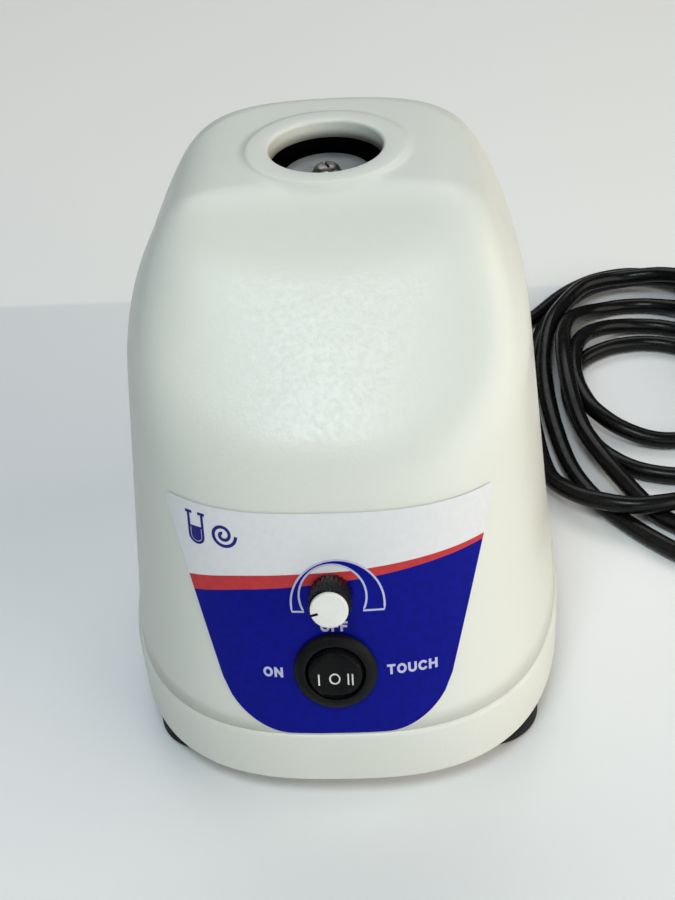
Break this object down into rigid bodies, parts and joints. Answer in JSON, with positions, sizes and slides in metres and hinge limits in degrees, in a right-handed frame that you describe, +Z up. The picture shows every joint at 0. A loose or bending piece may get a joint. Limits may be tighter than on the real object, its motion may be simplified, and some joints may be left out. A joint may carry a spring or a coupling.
{
  "type": "vortex mixer",
  "caption": "Desk-top vortex mixer: painted sloping housing on rubber feet, orbiting head carrier in a collared opening, speed knob, rocker switch and a coiled mains cord.",
  "frame": {"origin": "on the table under the middle of the housing", "axes": "+Z up, +X to the operator's right, -Y towards the operator and the panel"},
  "size_m": [0.2619, 0.2947, 0.1539],
  "materials": {
    "cream_paint": "fine pebbled paint",
    "printed_film": "satin printed film",
    "black_plastic": "moulded",
    "white_plastic": "moulded",
    "black_rubber": "ribbed, matt",
    "black_pvc": "smooth cord sheath",
    "bright_steel": "turned",
    "spring_steel": "wire",
    "zinc_plate": "zinc plated",
    "motor_paint": "black enamel",
    "lamination_iron": "stacked sheet",
    "enamelled_copper": "wound wire",
    "brass": "turned",
    "dark_anodised": "dark anodised",
    "board_green": "solder mask",
    "blue_plastic": "moulded",
    "aluminium": "extruded"
  },
  "bodies": {
    "housing": {"base_pan": "cream_paint", "top_cover": "cream_paint", "front_label": "printed_film", "potentiometer": "bright_steel", "pot_nut": "bright_steel", "switch_frame": "black_plastic", "touch_switch": "black_plastic", "circuit_board": "board_green", "board_rail": "white_plastic", "heat_sink": "aluminium", "triac": "black_plastic", "capacitor": "blue_plastic", "terminal_block": "white_plastic", "strain_relief": "black_rubber", "power_cord": "black_pvc", "cord_coil": "black_pvc", "plug_cord": "black_pvc", "plug_body": "black_plastic", "plug_blade_1": "bright_steel", "plug_blade_2": "bright_steel", "foot_1": "black_rubber", "foot_screw_1": "bright_steel", "guide_post_1": "bright_steel", "lift_spring_1": "spring_steel", "foot_2": "black_rubber", "foot_screw_2": "bright_steel", "guide_post_2": "bright_steel", "lift_spring_2": "spring_steel", "foot_3": "black_rubber", "foot_screw_3": "bright_steel", "guide_post_3": "bright_steel", "lift_spring_3": "spring_steel", "foot_4": "black_rubber", "foot_screw_4": "bright_steel", "guide_post_4": "bright_steel", "lift_spring_4": "spring_steel"},
    "drive_unit": {"motor_plate": "zinc_plate", "motor_screw_1": "bright_steel", "motor_screw_2": "bright_steel", "motor_can": "motor_paint", "motor_end_cap": "zinc_plate", "stator_core": "lamination_iron", "lower_winding": "enamelled_copper", "upper_winding": "enamelled_copper", "lower_bearing": "bright_steel", "upper_bearing": "bright_steel", "orbit_bush": "black_rubber"},
    "rotor": {"motor_shaft": "bright_steel", "rotor_core": "lamination_iron", "eccentric_hub": "bright_steel", "hub_set_screw": "brass"},
    "head_carrier": {"cup_carrier": "dark_anodised", "carrier_bearing": "bright_steel", "carrier_screw": "bright_steel", "orbit_peg": "bright_steel"},
    "speed_control": {"speed_knob": "black_plastic", "knob_cap": "white_plastic", "pot_shaft": "bright_steel"},
    "power_rocker": {"switch_rocker": "black_plastic"},
    "touch_plunger": {"touch_button": "blue_plastic"}
  },
  "joints": [
    {"name": "head_press", "type": "slide", "parent": "housing", "child": "drive_unit", "axis": [0, 0, 1], "range_m": [-0.002, 0], "stiffness_N_per_m": 6000, "springref_m": 0.006, "deforming": ["lift_spring_1", "lift_spring_2", "lift_spring_3", "lift_spring_4"]},
    {"name": "motor_spin", "type": "hinge", "parent": "drive_unit", "child": "rotor", "pos_m": [0, 0.0355, 0], "axis": [0, 0, 1], "continuous": true},
    {"name": "carrier_orbit", "type": "hinge", "parent": "rotor", "child": "head_carrier", "pos_m": [0, 0.0335, 0], "axis": [0, 0, 1], "continuous": true},
    {"name": "speed_turn", "type": "hinge", "parent": "housing", "child": "speed_control", "pos_m": [0, -0.06871, 0.072], "axis": [0, 0.9599, -0.2803], "range_deg": [-45, 255]},
    {"name": "rocker_tilt", "type": "hinge", "parent": "housing", "child": "power_rocker", "pos_m": [0, -0.07551, 0.0487], "axis": [0, 0.2803, 0.9599], "range_deg": [-10, 10]},
    {"name": "touch_travel", "type": "slide", "parent": "housing", "child": "touch_plunger", "axis": [0, 0, 1], "range_m": [-0.0018, 0]}
  ],
  "couplings": [
    {"joint": "carrier_orbit", "follows": "motor_spin", "ratio": -1},
    {"joint": "touch_travel", "follows": "head_press", "ratio": 0.9}
  ]
}
